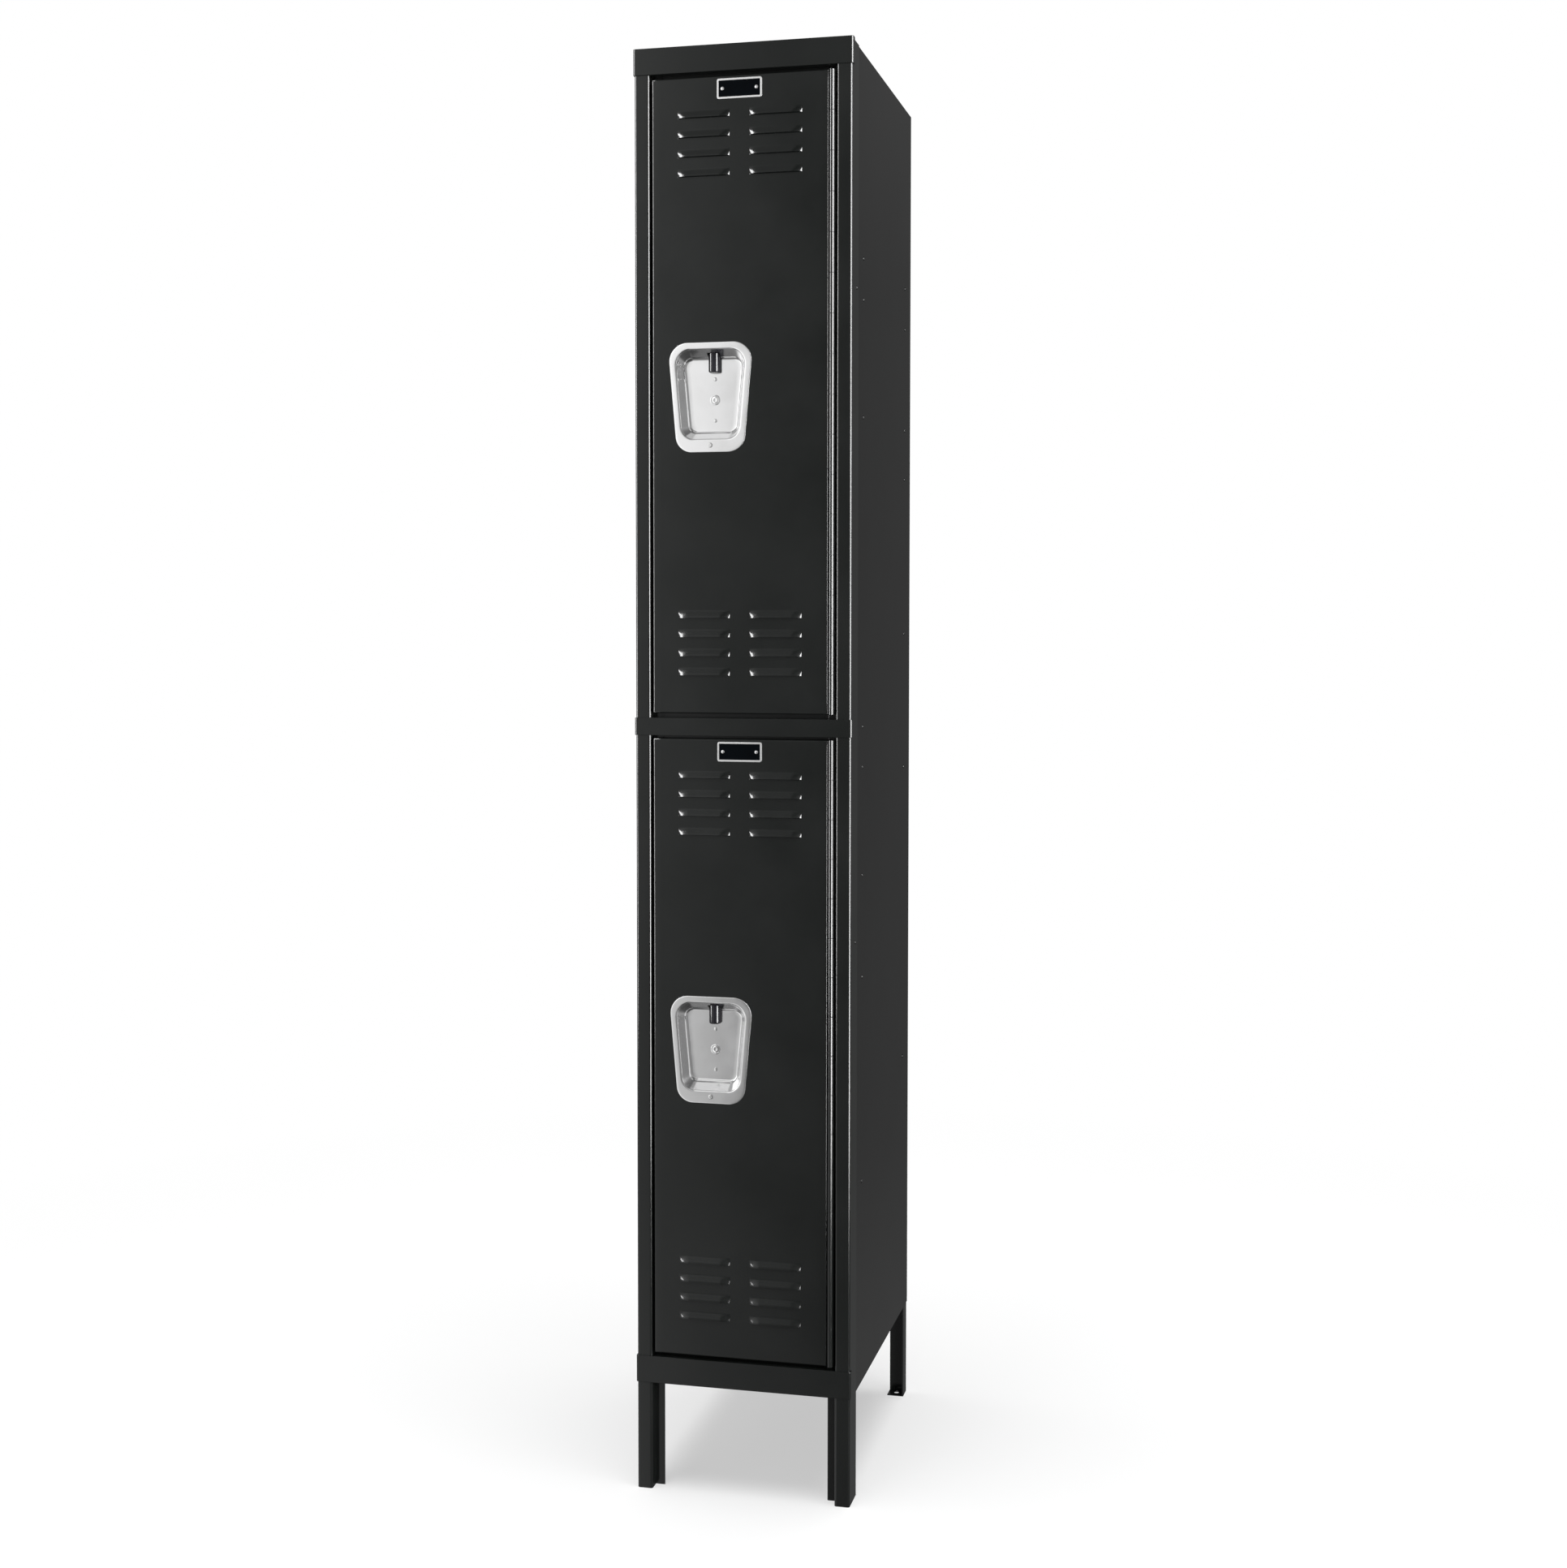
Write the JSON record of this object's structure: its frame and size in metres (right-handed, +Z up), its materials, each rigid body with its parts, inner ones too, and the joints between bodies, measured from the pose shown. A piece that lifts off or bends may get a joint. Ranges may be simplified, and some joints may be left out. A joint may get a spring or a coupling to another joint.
{
  "type": "locker cabinet",
  "caption": "Tall narrow sheet-metal locker on legs with two stacked louvred doors, recessed handle cups, lift latches and coat hooks inside.",
  "frame": {"origin": "centre of the footprint on the floor", "axes": "+X to the hinge side, +Y to the back, +Z up; the doors face -Y"},
  "size_m": [0.3048, 0.4595, 1.9812],
  "materials": {
    "black_powder_coat": "satin",
    "stainless_steel": "bright brushed",
    "bright_fastener": "bright",
    "plate_face": "dark enamelled field with a bright border",
    "black_plastic": "gloss",
    "rubber": "matt",
    "natural_plastic": "matt",
    "zinc_plated_steel": "zinc plated"
  },
  "bodies": {
    "cabinet": {"frame_upright_left": "black_powder_coat", "frame_upright_right": "black_powder_coat", "header_rail": "black_powder_coat", "middle_rail": "black_powder_coat", "bottom_rail": "black_powder_coat", "side_panel_left": "black_powder_coat", "side_panel_right": "black_powder_coat", "back_panel": "black_powder_coat", "top_panel": "black_powder_coat", "tier_shelf": "black_powder_coat", "bottom_shelf": "black_powder_coat", "rear_leg_left": "black_powder_coat", "rear_leg_right": "black_powder_coat", "side_rivets": "black_powder_coat", "hinge_frame_leaf_upper": "black_powder_coat", "hinge_frame_leaf_lower": "black_powder_coat", "hinge_pin_upper": "black_powder_coat", "hinge_pin_lower": "black_powder_coat", "frame_hooks": "zinc_plated_steel", "silencers": "rubber", "ceiling_hooks": "zinc_plated_steel", "wall_hooks": "zinc_plated_steel", "coat_hook_bolts": "zinc_plated_steel"},
    "upper_door": {"door_panel_upper": "black_powder_coat", "hinge_door_leaf_upper": "black_powder_coat", "handle_cup_upper": "stainless_steel", "cup_screw_upper": "bright_fastener", "lock_hole_plug_upper": "bright_fastener", "lock_hole_rivets_upper": "bright_fastener", "number_plate_upper": "plate_face", "plate_rivets_upper": "bright_fastener", "bar_guides_upper": "natural_plastic"},
    "lower_door": {"door_panel_lower": "black_powder_coat", "hinge_door_leaf_lower": "black_powder_coat", "handle_cup_lower": "stainless_steel", "cup_screw_lower": "bright_fastener", "lock_hole_plug_lower": "bright_fastener", "lock_hole_rivets_lower": "bright_fastener", "number_plate_lower": "plate_face", "plate_rivets_lower": "bright_fastener", "bar_guides_lower": "natural_plastic"},
    "upper_lock_bar": {"lock_bar_upper": "zinc_plated_steel", "lift_trigger_upper": "black_plastic", "latch_clips_upper": "zinc_plated_steel"},
    "lower_lock_bar": {"lock_bar_lower": "zinc_plated_steel", "lift_trigger_lower": "black_plastic", "latch_clips_lower": "zinc_plated_steel"}
  },
  "joints": [
    {"name": "upper_door_hinge", "type": "hinge", "parent": "cabinet", "child": "upper_door", "pos_m": [0.1233, -0.2271, 1.5113], "axis": [0, 0, 1], "range_deg": [0, 170]},
    {"name": "lower_door_hinge", "type": "hinge", "parent": "cabinet", "child": "lower_door", "pos_m": [0.1233, -0.2271, 0.621], "axis": [0, 0, 1], "range_deg": [0, 170]},
    {"name": "upper_trigger_lift", "type": "slide", "parent": "upper_door", "child": "upper_lock_bar", "axis": [0, 0, 1], "range_m": [0, 0.01]},
    {"name": "lower_trigger_lift", "type": "slide", "parent": "lower_door", "child": "lower_lock_bar", "axis": [0, 0, 1], "range_m": [0, 0.01]}
  ]
}
